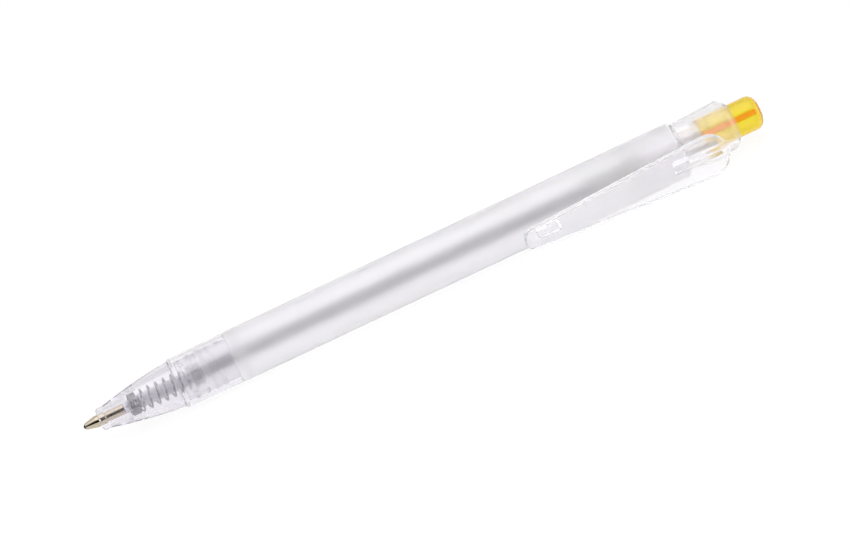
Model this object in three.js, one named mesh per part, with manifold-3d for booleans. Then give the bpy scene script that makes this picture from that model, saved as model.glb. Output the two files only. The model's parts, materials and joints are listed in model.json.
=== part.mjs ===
// A retractable ballpoint pen, built as its real pieces.
// Millimetres, the pen's axis along X with the writing point towards -X, +Z up.
// It is drawn as it lies on a table with the point out: the barrel and the clip's root both touch down.
// Inside the source every station x is measured from the writing point, and the last lines centre the pen.

import * as THREE from 'three';
import { mergeVertices } from 'three/addons/utils/BufferGeometryUtils.js';
import Module from 'manifold-3d';

const wasm = await Module();
wasm.setup();

// Clearances
const pressGap = 0.1;      // beside a piece that is pressed or screwed in
const slideGap = 0.15;     // beside a piece that slides or turns
const seatGap = 0.3;       // before a seat
const seamGap = 0.12;      // the fine line between two casings
const rootBite = 0.4;      // how deep the root of a rib or a web sits in what carries it

// Travel
const tipOut = 3.17;       // the point stands this far out of the mouth when writing
const clickTravel = 5.0;   // from writing to retracted
const pressTravel = 1.5;   // the further push that frees the latch
const clickTurn = Math.PI / 4;   // the rotor turns this much on one click travel

// Refill
const ballDiameter = 1.0;
const ballGap = 0.05;
const ballProud = 0.34;
const tipRimWall = 0.07;
const tipConeLength = 2.56;
const tipCollarRadius = 1.15;
const tipCollarLength = 2.08;
const tipGrooveLength = 0.2;
const tipGrooveDepth = 0.12;
const tipShankRadius = 1.0;
const tipShankLength = 3.6;
const tipSpigotRadius = 0.66;
const tipSpigotLength = 2.0;
const inkDuctRadius = 0.28;
const nozzleWall = 0.34;
const nozzleSpare = 0.6;           // spare travel before the refill's step meets the nose
const refillFrontRadius = 1.35;
const refillFrontBore = 0.95;
const refillShoulderX = 24.85;     // the shoulder that carries the spring
const refillShoulderRadius = 2.05;
const refillShoulderLength = 0.9;
const refillRadius = 1.55;
const refillBore = 1.2;
const refillLength = 106.8;
const inkHeadspace = 0.56;           // air between the ink and the refill's rear end

// Nose, clear, with the grip moulded on it
const noseLength = 27.6;
const lipRadius = 2.2;
const lipLength = 1.5;
const lipRounding = 0.6;
const coneLength = 14.48;
const coneRadius = 4.62;
const conePullX = 7.2;             // the curve's pull, behind and outside its front end
const conePullRadius = 1.765;
const gripFrontRadius = 4.94;
const gripChamfer = 0.18;
const springSeatDepth = 6.1;       // from the mouth
const springPocketLength = 2.5;
const chamberRearRadius = 3.3;

// Spring
const springRadius = 2.05;         // to the middle of the wire
const wireDiameter = 0.36;
const frontDeadTurns = 2;
const rearDeadTurns = 3;
const activeTurns = 6.5;
const deadPitch = 0.8;

// Barrel, frosted
const barrelFrontRadius = 5.05;
const barrelRearRadius = 5.15;
const barrelWall = 0.86;
const barrelRearRounding = 0.55;
const threadLength = 10.6;
const threadCrestRadius = 4.2;
const threadDepth = 0.3;
const threadPitch = 1.97;
const spigotWall = 0.9;

// Cap with its clip
const capFrontRadius = 4.58;
const capRearRadius = 5.1;
const capLength = 11.72;
const capShoulders = [[1.6, 0], [0.65, 0.6], [0, 1.42]];   // from the lip, and below the widest
const sleeveLength = 10.9;
const sleeveWall = 0.78;
const sleeveLeadIn = 0.3;
const ringWall = 0.8;              // the ring that keeps the plunger in
const camRibCount = 4;
const camRibWidth = 0.8;
const camRibHeight = 0.6;
const camTurnOffset = THREE.MathUtils.degToRad(23);
const grooveWidth = 0.5;
const grooveDepth = 0.3;
const grooveLengths = [3.4, 4.7];
const grooveSpace = 1.5;
const clipLength = 42.46;
const clipTipHalfWidth = 2.15;
const clipTipCorner = 1.8;
const clipRootHalfWidth = 4.42;
const clipRootFromLip = 8.0;       // where the clip is widest, in front of the lip
const clipRootRound = 4.25;
const clipPullShare = 0.62;        // where along the clip its sides begin to close
const clipPullHalfWidth = 3.75;
const clipGap = 1.6;               // between barrel and clip
const clipThickness = 1.4;
const clipEdge = 0.25;
const nubStart = 2.8;              // behind the clip's tip
const nubLength = 4.55;
const nubWidth = 1.7;
const clipWebWidth = 1.85;
const clipWebEndFromLip = 5.3;
const clipWebOverhang = 3.08;      // how far the web reaches over the barrel

// Button and plunger
const buttonRadius = 3.4;
const buttonWall = 0.65;
const buttonEndWall = 0.95;
const buttonProud = 5.55;
const buttonSkirt = 6.74;          // inside the cap when writing
const buttonRounding = 1.8;
const buttonWebThickness = 1.0;
const buttonWebTurn = THREE.MathUtils.degToRad(32);
const plungerPlugLength = 2.2;
const plungerFlangeLength = 0.5;
const plungerFlangeRadius = 3.25;
const plungerRibLength = 2.2;
const plungerRibWidth = 0.6;
const crownDepth = 0.7;
const crownTeeth = 8;

// Rotor
const rotorCupLength = 2.2;
const rotorCupWall = 0.6;
const rotorBodyLength = 8.96;
const rotorBodyRadius = 2.0;
const rotorRibLength = 2.3;
const rotorRibWidth = 0.6;
const rotorStemRadius = 1.2;
const rotorStemLength = 13.0;
const camGap = 0.5;

const sides = 32;
const fineSides = 20;
const curveSteps = 8;

// Stations and radii that follow from the sizes above
const mouthX = tipOut;
const seamX = mouthX + noseLength;
const springSeatX = mouthX + springSeatDepth;
const tipShankX = tipConeLength + tipCollarLength + tipGrooveLength;
const tipRearX = tipShankX + tipShankLength;
const noseBore = tipCollarRadius + slideGap;
const nozzleBore = tipSpigotRadius + pressGap;
const nozzleEndX = springSeatX + pressTravel + seatGap + refillFrontRadius - noseBore + nozzleSpare;
const springPocketRadius = springRadius + wireDiameter / 2 + slideGap + pressGap;
const spigotX = seamX - threadLength;
const threadRootRadius = threadCrestRadius - threadDepth;
const spigotBore = threadRootRadius - spigotWall;
const nutBore = threadCrestRadius + pressGap;
const barrelBore = barrelRearRadius - barrelWall;

const rotorX = refillLength + seatGap;
const rotorBodyEndX = rotorX + rotorBodyLength;
const sleeveOuter = barrelBore - pressGap;
const sleeveInner = sleeveOuter - sleeveWall;
const camInner = sleeveInner - camRibHeight;
const camSlope = clickTravel / (clickTurn * camInner);
const rotorRibRadius = sleeveInner - slideGap;
const camMiddleX = rotorBodyEndX + camGap - (camSlope * rotorRibWidth) / 2;
const plungerX = rotorBodyEndX + seatGap;
const plungerRibEndX = plungerX + plungerRibLength;
const ringX = plungerRibEndX + clickTravel + seatGap;
const capSeamX = ringX + seamGap;
const sleeveX = capSeamX - sleeveLength;
const lipX = capSeamX + capLength;
const buttonEndX = lipX + buttonProud;
const skirtX = lipX - buttonSkirt;
const capBore = buttonRadius + slideGap;
const plungerRadius = camInner - slideGap - pressGap;
const plungerBore = rotorStemRadius + slideGap;
const buttonBore = buttonRadius - buttonWall;
const clipInner = barrelRearRadius + clipGap;
const clipOuter = clipInner + clipThickness;
const clipRootX = lipX - clipRootFromLip;
const clipTipX = clipRootX + clipRootRound - clipLength;

// The barrel lies on one of its flats, and the clip dips until its edge touches down too.
const restDepth = barrelRearRadius * Math.cos(Math.PI / sides);
const clipDip = Math.min(
  dipOf(clipOuter, clipRootHalfWidth - clipEdge),
  dipOf(clipOuter - clipEdge, clipRootHalfWidth),
);

function dipOf(out, across) {
  return Math.asin(restDepth / Math.hypot(out, across)) - Math.atan(across / out);
}

// Geometry helpers

// Drops normals and uvs, merges the corners and leaves out triangles without area.
function welded(geometry) {
  const bare = geometry.clone();
  bare.deleteAttribute('normal');
  bare.deleteAttribute('uv');
  const merged = mergeVertices(bare, 1e-4);
  const index = merged.index.array;
  const kept = [];
  for (let i = 0; i < index.length; i += 3) {
    const [a, b, c] = [index[i], index[i + 1], index[i + 2]];
    if (a !== b && b !== c && c !== a) kept.push(a, b, c);
  }
  merged.setIndex(kept);
  return volumeOf(merged) < 0 ? turnedOver(merged) : merged;
}

function volumeOf(geometry) {
  const place = geometry.attributes.position;
  const index = geometry.index.array;
  const [a, b, c] = [new THREE.Vector3(), new THREE.Vector3(), new THREE.Vector3()];
  let volume = 0;
  for (let i = 0; i < index.length; i += 3) {
    a.fromBufferAttribute(place, index[i]);
    b.fromBufferAttribute(place, index[i + 1]);
    c.fromBufferAttribute(place, index[i + 2]);
    volume += a.dot(b.cross(c)) / 6;
  }
  return volume;
}

function turnedOver(geometry) {
  const index = geometry.index.array;
  const flipped = [];
  for (let i = 0; i < index.length; i += 3) {
    flipped.push(index[i], index[i + 2], index[i + 1]);
  }
  geometry.setIndex(flipped);
  return geometry;
}

// A turned piece from its outline of [x, radius] points, with flats at the top and bottom.
function turned(outline, count = sides) {
  const points = outline.map(([x, radius]) => new THREE.Vector2(radius, x));
  const onAxis = points[0].x === 0 && points[points.length - 1].x === 0;
  if (!onAxis) points.push(points[0].clone());
  const lathe = new THREE.LatheGeometry(points, count, Math.PI / count);
  lathe.rotateZ(-Math.PI / 2);
  return welded(lathe);
}

// A flat outline of [x, z] points, or a Shape, made thick from y = out to y = out + thickness.
function slab(shape, out, thickness, edge = 0) {
  const outline = Array.isArray(shape)
    ? new THREE.Shape(shape.map(([x, z]) => new THREE.Vector2(x, z)))
    : shape;
  const plate = new THREE.ExtrudeGeometry(outline, {
    depth: thickness - 2 * edge,
    curveSegments: curveSteps,
    bevelEnabled: edge > 0,
    bevelThickness: edge,
    bevelSize: edge,
    bevelOffset: -edge,
    bevelSegments: 1,
  });
  plate.rotateX(Math.PI / 2);
  plate.translate(0, out + thickness - edge, 0);
  return welded(plate);
}

function block(x0, x1, y0, y1, z0, z1) {
  const box = new THREE.BoxGeometry(x1 - x0, y1 - y0, z1 - z0);
  box.translate((x0 + x1) / 2, (y0 + y1) / 2, (z0 + z1) / 2);
  return welded(box);
}

function solid(geometry) {
  return new wasm.Manifold(new wasm.Mesh({
    numProp: 3,
    vertProperties: new Float32Array(geometry.attributes.position.array),
    triVerts: new Uint32Array(geometry.index.array),
  }));
}

function geometryOf(body) {
  const mesh = body.getMesh();
  const geometry = new THREE.BufferGeometry();
  geometry.setAttribute('position', new THREE.BufferAttribute(new Float32Array(mesh.vertProperties), 3));
  geometry.setIndex(new THREE.BufferAttribute(new Uint32Array(mesh.triVerts), 1));
  return geometry;
}

function joined(first, ...others) {
  return geometryOf(others.reduce((whole, other) => whole.add(solid(other)), solid(first)));
}

function cut(first, ...others) {
  return geometryOf(others.reduce((whole, other) => whole.subtract(solid(other)), solid(first)));
}

// The same piece several times round the axis, starting at an angle.
function aroundAxis(geometry, count, start = 0) {
  return Array.from({ length: count }, (_, i) => (
    geometry.clone().rotateX(start + (2 * Math.PI * i) / count)
  ));
}

function arc(x, radius, size, from, to, steps = 4) {
  return Array.from({ length: steps + 1 }, (_, i) => {
    const angle = from + ((to - from) * i) / steps;
    return [x + size * Math.cos(angle), radius + size * Math.sin(angle)];
  });
}

function named(name, geometry, color, roughness, metalness = 0, opacity = 1) {
  const material = new THREE.MeshStandardMaterial({
    color,
    roughness,
    metalness,
    opacity,
    transparent: opacity < 1,
  });
  const mesh = new THREE.Mesh(geometry, material);
  mesh.name = name;
  return mesh;
}

// Sub-parts

function writingBall() {
  const radius = ballDiameter / 2;
  const ball = new THREE.SphereGeometry(radius, 16, 12);
  ball.translate(radius, 0, 0);
  return named('writing_ball', welded(ball), 0x3a3a3c, 0.2, 1);
}

// Nickel silver: cone, collar, groove and shank, with the ball's socket and the ink duct through it.
function ballpointTip() {
  const ballRadius = ballDiameter / 2;
  const socket = ballRadius + ballGap;
  const rimAngle = Math.acos((ballRadius - ballProud) / socket);
  const rim = socket * Math.sin(rimAngle);
  const ductAngle = Math.PI - Math.asin(inkDuctRadius / socket);
  const cupped = arc(ballRadius, 0, socket, ductAngle, Math.PI - rimAngle, 5)
    .map(([x, r]) => [2 * ballRadius - x, r]);
  const groove = tipConeLength + tipCollarLength;
  const chamfer = tipGrooveDepth;
  const outline = [
    ...cupped,
    [ballProud, rim + tipRimWall],
    [tipConeLength, tipCollarRadius],
    [groove - chamfer, tipCollarRadius],
    [groove, tipShankRadius - tipGrooveDepth],
    [tipShankX, tipShankRadius - tipGrooveDepth],
    [tipShankX, tipShankRadius],
    [tipRearX, tipShankRadius],
    [tipRearX, tipSpigotRadius],
    [tipRearX + tipSpigotLength, tipSpigotRadius],
    [tipRearX + tipSpigotLength, inkDuctRadius],
  ];
  return named('ballpoint_tip', turned(outline, fineSides), 0xcfc8b8, 0.25, 1);
}

function refillTube() {
  const front = tipRearX + pressGap;
  const nozzle = nozzleBore + nozzleWall;
  const duct = tipRearX + tipSpigotLength + seatGap;
  const shoulderEnd = refillShoulderX + refillShoulderLength;
  const outline = [
    [front, nozzleBore],
    [front, nozzle],
    [nozzleEndX, nozzle],
    [nozzleEndX + refillFrontRadius - nozzle, refillFrontRadius],
    [refillShoulderX, refillFrontRadius],
    [refillShoulderX, refillShoulderRadius],
    [shoulderEnd, refillShoulderRadius],
    [shoulderEnd + refillShoulderRadius - refillRadius, refillRadius],
    [refillLength, refillRadius],
    [refillLength, refillBore],
    [shoulderEnd, refillBore],
    [shoulderEnd, refillFrontBore],
    [duct, refillFrontBore],
    [duct, nozzleBore],
  ];
  return named('refill_tube', turned(outline, fineSides), 0xdcd8de, 0.4, 0, 0.6);
}

function inkColumn() {
  const front = tipRearX + tipSpigotLength + 2 * seatGap;
  const step = refillShoulderX + refillShoulderLength + pressGap;
  const end = refillLength - inkHeadspace;
  const outline = [
    [front, 0],
    [front, refillFrontBore - pressGap],
    [step, refillFrontBore - pressGap],
    [step, refillBore - pressGap],
    [end, refillBore - pressGap],
    [end, 0],
  ];
  return named('ink_column', turned(outline, fineSides), 0x17161c, 0.3);
}

// The wire's centre line: dead turns, open turns, dead turns, and a short straight end at each seat.
function springLine(stepsPerTurn) {
  const front = springSeatX + seatGap;
  const back = refillShoulderX - seatGap;
  const deadFront = frontDeadTurns * deadPitch;
  const deadRear = rearDeadTurns * deadPitch;
  const active = back - front - 2 * wireDiameter - deadFront - deadRear;
  const turns = frontDeadTurns + activeTurns + rearDeadTurns;
  const steps = Math.round(turns * stepsPerTurn);
  const points = [];
  for (let i = 0; i <= steps; i += 1) {
    const turn = (turns * i) / steps;
    const dead = Math.min(turn, frontDeadTurns) + Math.max(turn - frontDeadTurns - activeTurns, 0);
    const open = Math.min(Math.max(turn - frontDeadTurns, 0), activeTurns);
    const x = front + wireDiameter + dead * deadPitch + (open * active) / activeTurns;
    const angle = -2 * Math.PI * turn;       // wound to the left
    points.push(new THREE.Vector3(x, springRadius * Math.cos(angle), springRadius * Math.sin(angle)));
  }
  const first = points[0].clone().setX(front);
  const last = points[points.length - 1].clone().setX(back);
  return [first, ...points, last];
}

// The least distance between stretches of the wire that are half a turn or more apart.
function leastSpringGap(points, stepsPerTurn) {
  let least = Infinity;
  for (let i = 0; i < points.length; i += 1) {
    for (let j = i + stepsPerTurn / 2; j < points.length; j += 1) {
      least = Math.min(least, points[i].distanceTo(points[j]));
    }
  }
  return least - wireDiameter;
}

// One unbroken wire: a ring of corners round each point of the line, square to it, and two flat ends.
function wireAlong(points, radius, corners) {
  const positions = [];
  const triangles = [];
  const outward = new THREE.Vector3();
  const along = new THREE.Vector3();
  const across = new THREE.Vector3();
  const count = points.length;
  points.forEach((point, i) => {
    const before = points[Math.max(i - 1, 0)];
    const after = points[Math.min(i + 1, count - 1)];
    along.subVectors(after, before).normalize();
    outward.set(0, point.y, point.z).normalize();
    across.crossVectors(along, outward).normalize();
    outward.crossVectors(across, along).normalize();
    for (let k = 0; k < corners; k += 1) {
      const angle = (2 * Math.PI * k) / corners;
      const corner = point.clone()
        .addScaledVector(outward, radius * Math.cos(angle))
        .addScaledVector(across, radius * Math.sin(angle));
      positions.push(corner.x, corner.y, corner.z);
    }
  });
  for (let i = 0; i < count - 1; i += 1) {
    for (let k = 0; k < corners; k += 1) {
      const a = i * corners + k;
      const b = i * corners + ((k + 1) % corners);
      triangles.push(a, b, a + corners, b, b + corners, a + corners);
    }
  }
  for (let k = 1; k < corners - 1; k += 1) {
    const end = (count - 1) * corners;
    triangles.push(0, k + 1, k, end, end + k, end + k + 1);
  }
  const geometry = new THREE.BufferGeometry();
  geometry.setAttribute('position', new THREE.Float32BufferAttribute(positions, 3));
  geometry.setIndex(triangles);
  return volumeOf(geometry) < 0 ? turnedOver(geometry) : geometry;
}

function spring() {
  const stepsPerTurn = 8;
  const points = springLine(stepsPerTurn);
  const gap = leastSpringGap(points, stepsPerTurn);
  console.log(`spring: least gap between its turns ${gap.toFixed(2)} mm`);
  return named('spring', wireAlong(points, wireDiameter / 2, 5), 0x9a9a9e, 0.3, 1);
}

// The clear nose: a lip round the mouth, an ogive, and the grip with the nut for the barrel's thread.
function noseCone() {
  const coneX = mouthX + lipLength;
  const gripX = coneX + coneLength;
  const ogive = new THREE.QuadraticBezierCurve(
    new THREE.Vector2(coneX, lipRadius),
    new THREE.Vector2(coneX + conePullX, lipRadius + conePullRadius),
    new THREE.Vector2(gripX, coneRadius),
  ).getPoints(curveSteps).map((point) => [point.x, point.y]);
  const pocketEndX = springSeatX + springPocketLength;
  const nutX = spigotX - seatGap;
  const outline = [
    [mouthX, noseBore],
    ...arc(mouthX + lipRounding, lipRadius - lipRounding, lipRounding, Math.PI, Math.PI / 2, 3),
    ...ogive,
    [gripX + gripChamfer, gripFrontRadius],
    [seamX - seamGap, barrelFrontRadius],
    [seamX - seamGap, nutBore],
    [nutX, nutBore],
    [nutX, chamberRearRadius],
    [pocketEndX, springPocketRadius + seatGap],
    [pocketEndX, springPocketRadius],
    [springSeatX, springPocketRadius],
    [springSeatX, noseBore],
  ];
  return named('nose_cone', turned(outline), 0xe6e4e8, 0.1, 0, 0.35);
}

// The spigot's thread: a skin whose radius follows a round-crested helix, fading out at both ends.
function threadedSpigot(x0, x1, count) {
  const rowsPerTurn = 6;
  const rows = Math.ceil(((x1 - x0) / threadPitch) * rowsPerTurn);
  const positions = [];
  const triangles = [];
  for (let i = 0; i <= rows; i += 1) {
    const x = x0 + ((x1 - x0) * i) / rows;
    const fade = Math.min((x - x0) / threadPitch, (x1 - x) / threadPitch, 1);
    for (let k = 0; k < count; k += 1) {
      const angle = (2 * Math.PI * (k + 0.5)) / count;
      const crest = 0.5 + 0.5 * Math.cos((2 * Math.PI * x) / threadPitch + angle);
      const radius = threadRootRadius + threadDepth * fade * crest;
      positions.push(x, radius * Math.sin(angle), radius * Math.cos(angle));
    }
  }
  for (let i = 0; i < rows; i += 1) {
    for (let k = 0; k < count; k += 1) {
      const a = i * count + k;
      const b = i * count + ((k + 1) % count);
      triangles.push(a, a + count, b, b, a + count, b + count);
    }
  }
  const start = positions.length / 3;
  positions.push(x0, 0, 0, x1, 0, 0);
  for (let k = 0; k < count; k += 1) {
    const next = (k + 1) % count;
    triangles.push(start, k, next, start + 1, rows * count + next, rows * count + k);
  }
  const geometry = new THREE.BufferGeometry();
  geometry.setAttribute('position', new THREE.Float32BufferAttribute(positions, 3));
  geometry.setIndex(triangles);
  return volumeOf(geometry) < 0 ? turnedOver(geometry) : geometry;
}

// The frosted barrel: a long tube, rounded over at the back, with the threaded spigot in front.
function barrel() {
  const rearX = capSeamX;
  const tube = turned([
    [seamX, 0],
    [seamX, barrelFrontRadius],
    [rearX - barrelRearRounding, barrelRearRadius],
    ...arc(rearX - barrelRearRounding, barrelRearRadius - barrelRearRounding,
      barrelRearRounding, Math.PI / 2, 0, 3),
    [rearX, 0],
  ]);
  const overlap = barrelWall / 2;
  const bore = turned([
    [spigotX - overlap, 0],
    [spigotX - overlap, spigotBore],
    [seamX + barrelWall, spigotBore],
    [seamX + barrelWall + barrelBore - spigotBore, barrelBore],
    [rearX + overlap, barrelBore],
    [rearX + overlap, 0],
  ]);
  const spigot = threadedSpigot(spigotX, seamX + overlap, sides);
  const whole = joined(tube, spigot);
  return named('barrel', cut(whole, bore), 0xe9e6ea, 0.5, 0, 0.6);
}

// The clip seen from outside: a rounded tip, sides that flare towards the root, and a round end.
function clipPlan() {
  const pullX = THREE.MathUtils.lerp(clipTipX, clipRootX, clipPullShare);
  const plan = new THREE.Shape();
  plan.moveTo(clipTipX, clipTipHalfWidth - clipTipCorner);
  plan.quadraticCurveTo(clipTipX, clipTipHalfWidth, clipTipX + clipTipCorner, clipTipHalfWidth);
  plan.quadraticCurveTo(pullX, clipPullHalfWidth, clipRootX, clipRootHalfWidth);
  plan.ellipse(0, -clipRootHalfWidth, clipRootRound, clipRootHalfWidth, Math.PI / 2, -Math.PI / 2, true);
  plan.quadraticCurveTo(pullX, -clipPullHalfWidth, clipTipX + clipTipCorner, -clipTipHalfWidth);
  plan.quadraticCurveTo(clipTipX, -clipTipHalfWidth, clipTipX, -clipTipHalfWidth + clipTipCorner);
  plan.closePath();
  return plan;
}

// One fixed cam rib, or a rotor rib, seen from outside: a bar whose end slants along the rotor's path.
function slantedRib(x, middleX, width, inner, outer) {
  const half = width / 2;
  const near = middleX - camSlope * half;
  const far = middleX + camSlope * half;
  const outline = [[x, -half], [x, half], [near, half], [far, -half]];
  return slab(outline, inner, outer - inner);
}

// Clear cap: flared body and lip, inner sleeve with the fixed cam ribs, web, clip and nub in one moulding.
function clipCap() {
  const shoulders = capShoulders.map(([fromLip, below]) => [lipX - fromLip, capRearRadius - below]);
  const frontX = capSeamX + seamGap;
  const shell = turned([
    [sleeveX, sleeveOuter - sleeveLeadIn],
    [sleeveX + sleeveLeadIn, sleeveOuter],
    [frontX, sleeveOuter],
    [frontX, capFrontRadius],
    ...shoulders,
    [lipX, capBore],
    [ringX + ringWall, capBore],
    [ringX + ringWall, camInner],
    [ringX, camInner],
    [ringX, sleeveInner],
    [sleeveX, sleeveInner],
  ]);
  const ribX = ringX + ringWall / 2;
  const rib = slantedRib(ribX, camMiddleX, camRibWidth, camInner, sleeveInner + rootBite);
  const ribs = aroundAxis(rib, camRibCount, camTurnOffset);
  const clip = slab(clipPlan(), -clipOuter, clipThickness, clipEdge);
  const nubX = clipTipX + nubStart;
  const nub = block(nubX, nubX + nubLength, -clipInner - rootBite, -barrelRearRadius - seatGap,
    -nubWidth / 2, nubWidth / 2);
  const webEnd = lipX - clipWebEndFromLip;
  const webOverBarrel = block(capSeamX - clipWebOverhang, webEnd, -clipInner - rootBite,
    -barrelRearRadius - seatGap, -clipWebWidth / 2, clipWebWidth / 2);
  const webToCap = block(frontX, webEnd, -clipInner, -capBore - rootBite,
    -clipWebWidth / 2, clipWebWidth / 2);
  const whole = joined(shell, ...ribs, clip, nub, webOverBarrel, webToCap);
  return named('clip_cap', cut(whole, ...sleeveGrooves()), 0xe9e6ea, 0.15, 0, 0.4);
}

// Two grooves in line, between each pair of cam ribs, on the outside of the sleeve.
function sleeveGrooves() {
  const [front, back] = grooveLengths;
  const backX = capSeamX - back;
  const frontX = backX - grooveSpace - front;
  const turn = camTurnOffset + Math.PI / camRibCount;
  return [[frontX, front], [backX, back]].flatMap(([x, length]) => {
    const tool = block(x, x + length, sleeveOuter - grooveDepth, sleeveOuter + grooveDepth,
      -grooveWidth / 2, grooveWidth / 2);
    return aroundAxis(tool, camRibCount, turn);
  });
}

// The yellow button: a hollow cup with a thin wall across its middle.
function pushButton() {
  const innerEndX = buttonEndX - buttonEndWall;
  const innerRounding = buttonRounding - buttonWall;
  const cup = turned([
    [buttonEndX, 0],
    ...arc(buttonEndX - buttonRounding, buttonRadius - buttonRounding, buttonRounding, 0, Math.PI / 2),
    [skirtX, buttonRadius],
    [skirtX, buttonBore],
    ...arc(innerEndX - innerRounding, buttonBore - innerRounding, innerRounding, Math.PI / 2, 0),
    [innerEndX, 0],
  ]);
  const web = block(skirtX + plungerFlangeLength, innerEndX + buttonEndWall / 2,
    -buttonBore - buttonWall / 2, buttonBore + buttonWall / 2,
    -buttonWebThickness / 2, buttonWebThickness / 2);
  const inside = turned([
    [skirtX, 0],
    [skirtX, buttonBore + buttonWall / 2],
    [innerEndX - innerRounding, buttonBore + buttonWall / 2],
    [innerEndX + buttonEndWall / 2, buttonBore - innerRounding],
    [innerEndX + buttonEndWall / 2, 0],
  ]);
  const kept = geometryOf(solid(web).intersect(solid(inside)));
  kept.rotateX(-buttonWebTurn);
  return named('push_button', joined(cup, kept), 0xf2d949, 0.2, 0, 0.85);
}

// Colourless plunger: crown and guide ribs in front, a flange under the button, a plug split by its wall.
function plunger() {
  const flangeEnd = skirtX - seatGap;
  const flangeX = flangeEnd - plungerFlangeLength;
  const plugRadius = buttonBore - pressGap;
  const plugEnd = skirtX + plungerPlugLength;
  const body = turned([
    [plungerX, plungerBore],
    [plungerX, plungerRadius],
    [flangeX, plungerRadius],
    [flangeX, plungerFlangeRadius],
    [flangeEnd, plungerFlangeRadius],
    [flangeEnd, plugRadius],
    [plugEnd, plugRadius],
    [plugEnd, plungerBore],
  ]);
  const slotHalf = buttonWebThickness / 2 + pressGap;
  const slot = block(skirtX + plungerFlangeLength - seatGap, plugEnd + seatGap,
    -buttonRadius, buttonRadius, -slotHalf, slotHalf).rotateX(-buttonWebTurn);
  const rib = block(plungerX, plungerRibEndX, plungerRadius - rootBite, rotorRibRadius,
    -plungerRibWidth / 2, plungerRibWidth / 2);
  const ribs = aroundAxis(rib, camRibCount, camTurnOffset + Math.PI / camRibCount);
  return named('plunger', cut(joined(body, ...ribs), slot, ...crownNotches()), 0xe4e2e6, 0.25, 0, 0.5);
}

// V notches that leave the crown of teeth which pushes the rotor.
function crownNotches() {
  const half = (Math.PI * plungerRadius) / (2 * crownTeeth);
  const notch = slab([
    [plungerX - crownDepth, -2 * half],
    [plungerX - crownDepth, 2 * half],
    [plungerX + crownDepth, 0],
  ], 0, rotorRibRadius + seatGap);
  return aroundAxis(notch, crownTeeth, camTurnOffset);
}

// Rotor: a cup on the refill's end, a body with ribs that rest against the fixed cams, and a stem.
function rotor() {
  const cupX = rotorX - rotorCupLength;
  const cupBore = refillRadius + pressGap;
  const cupRadius = cupBore + rotorCupWall;
  const stemEnd = rotorBodyEndX + rotorStemLength;
  const body = turned([
    [rotorX, 0],
    [rotorX, cupBore],
    [cupX, cupBore],
    [cupX, cupRadius],
    [rotorX + rotorCupWall, cupRadius],
    [rotorX + rotorCupWall + cupRadius - rotorBodyRadius, rotorBodyRadius],
    [rotorBodyEndX, rotorBodyRadius],
    [rotorBodyEndX, rotorStemRadius],
    [stemEnd, rotorStemRadius],
    [stemEnd, 0],
  ]);
  const ribX = rotorBodyEndX - rotorRibLength;
  const middleX = camMiddleX - camGap;
  const rib = slantedRib(ribX, middleX, rotorRibWidth, rotorBodyRadius - rootBite, rotorRibRadius);
  const ribs = aroundAxis(rib, camRibCount, camTurnOffset);
  return named('rotor', joined(body, ...ribs), 0x8e8e90, 0.35, 0, 0.8);
}

// The rear pieces turn together about the axis, so that the clip dips to the table.
const rear = new THREE.Group();
rear.add(clipCap(), pushButton(), plunger(), rotor());
rear.rotation.x = clipDip;

const pen = new THREE.Group();
pen.add(noseCone(), barrel(), spring(), ballpointTip(), writingBall(), refillTube(), inkColumn(), rear);

const clipReach = clipOuter * Math.cos(clipDip) + (clipRootHalfWidth - clipEdge) * Math.sin(clipDip);
pen.position.set(-buttonEndX / 2, (clipReach - restDepth) / 2, restDepth);

const part = new THREE.Group();
part.name = 'ballpoint_pen';
part.add(pen);

export default part;
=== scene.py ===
# %% [markdown]
# # A click ballpoint pen
#
# The pen has a clear nose, a frosted barrel, a clear cap with its clip and a yellow push button.
# Nearly all of it can be looked through, so every piece inside is modelled too: the refill, its
# ink, the spring, and the cam parts that latch the button. Each piece is drawn lying straight along
# the X axis in millimetres, which keeps the numbers readable. When it is finished, it is scaled to
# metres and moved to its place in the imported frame.

# %% Load the frame
import json
import math
import bpy
from mathutils import Matrix, Vector


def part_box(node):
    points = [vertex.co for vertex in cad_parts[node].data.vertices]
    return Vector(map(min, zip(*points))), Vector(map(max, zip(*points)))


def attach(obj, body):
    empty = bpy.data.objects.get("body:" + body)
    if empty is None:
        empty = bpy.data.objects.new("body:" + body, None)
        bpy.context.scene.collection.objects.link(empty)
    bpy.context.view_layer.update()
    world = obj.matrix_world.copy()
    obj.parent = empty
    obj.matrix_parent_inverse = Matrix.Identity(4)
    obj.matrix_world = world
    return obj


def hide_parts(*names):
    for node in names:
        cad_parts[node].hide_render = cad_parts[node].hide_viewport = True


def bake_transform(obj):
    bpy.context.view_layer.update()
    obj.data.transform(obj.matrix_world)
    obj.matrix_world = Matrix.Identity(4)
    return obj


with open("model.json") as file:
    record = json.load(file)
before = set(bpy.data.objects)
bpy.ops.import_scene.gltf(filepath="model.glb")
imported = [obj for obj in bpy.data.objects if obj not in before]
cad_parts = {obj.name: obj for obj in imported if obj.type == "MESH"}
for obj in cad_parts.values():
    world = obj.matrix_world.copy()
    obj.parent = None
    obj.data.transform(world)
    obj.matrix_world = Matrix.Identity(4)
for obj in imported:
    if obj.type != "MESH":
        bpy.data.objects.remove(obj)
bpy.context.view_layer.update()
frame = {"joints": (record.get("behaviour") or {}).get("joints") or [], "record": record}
joint = {j["name"]: j for j in frame["joints"]}
mount = {m["name"]: m for m in frame["record"]["mounts"]}

# %% [markdown]
# ## Where the pen lies
#
# The axis runs along X at the height of the rotor's hinge, and the writing ball marks the pen's
# point. The pen rests on its barrel and on the edge of its clip, so the clip leans down from the
# level, and the other rear pieces are turned with it. The clip's face in the record says by how
# much.

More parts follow.
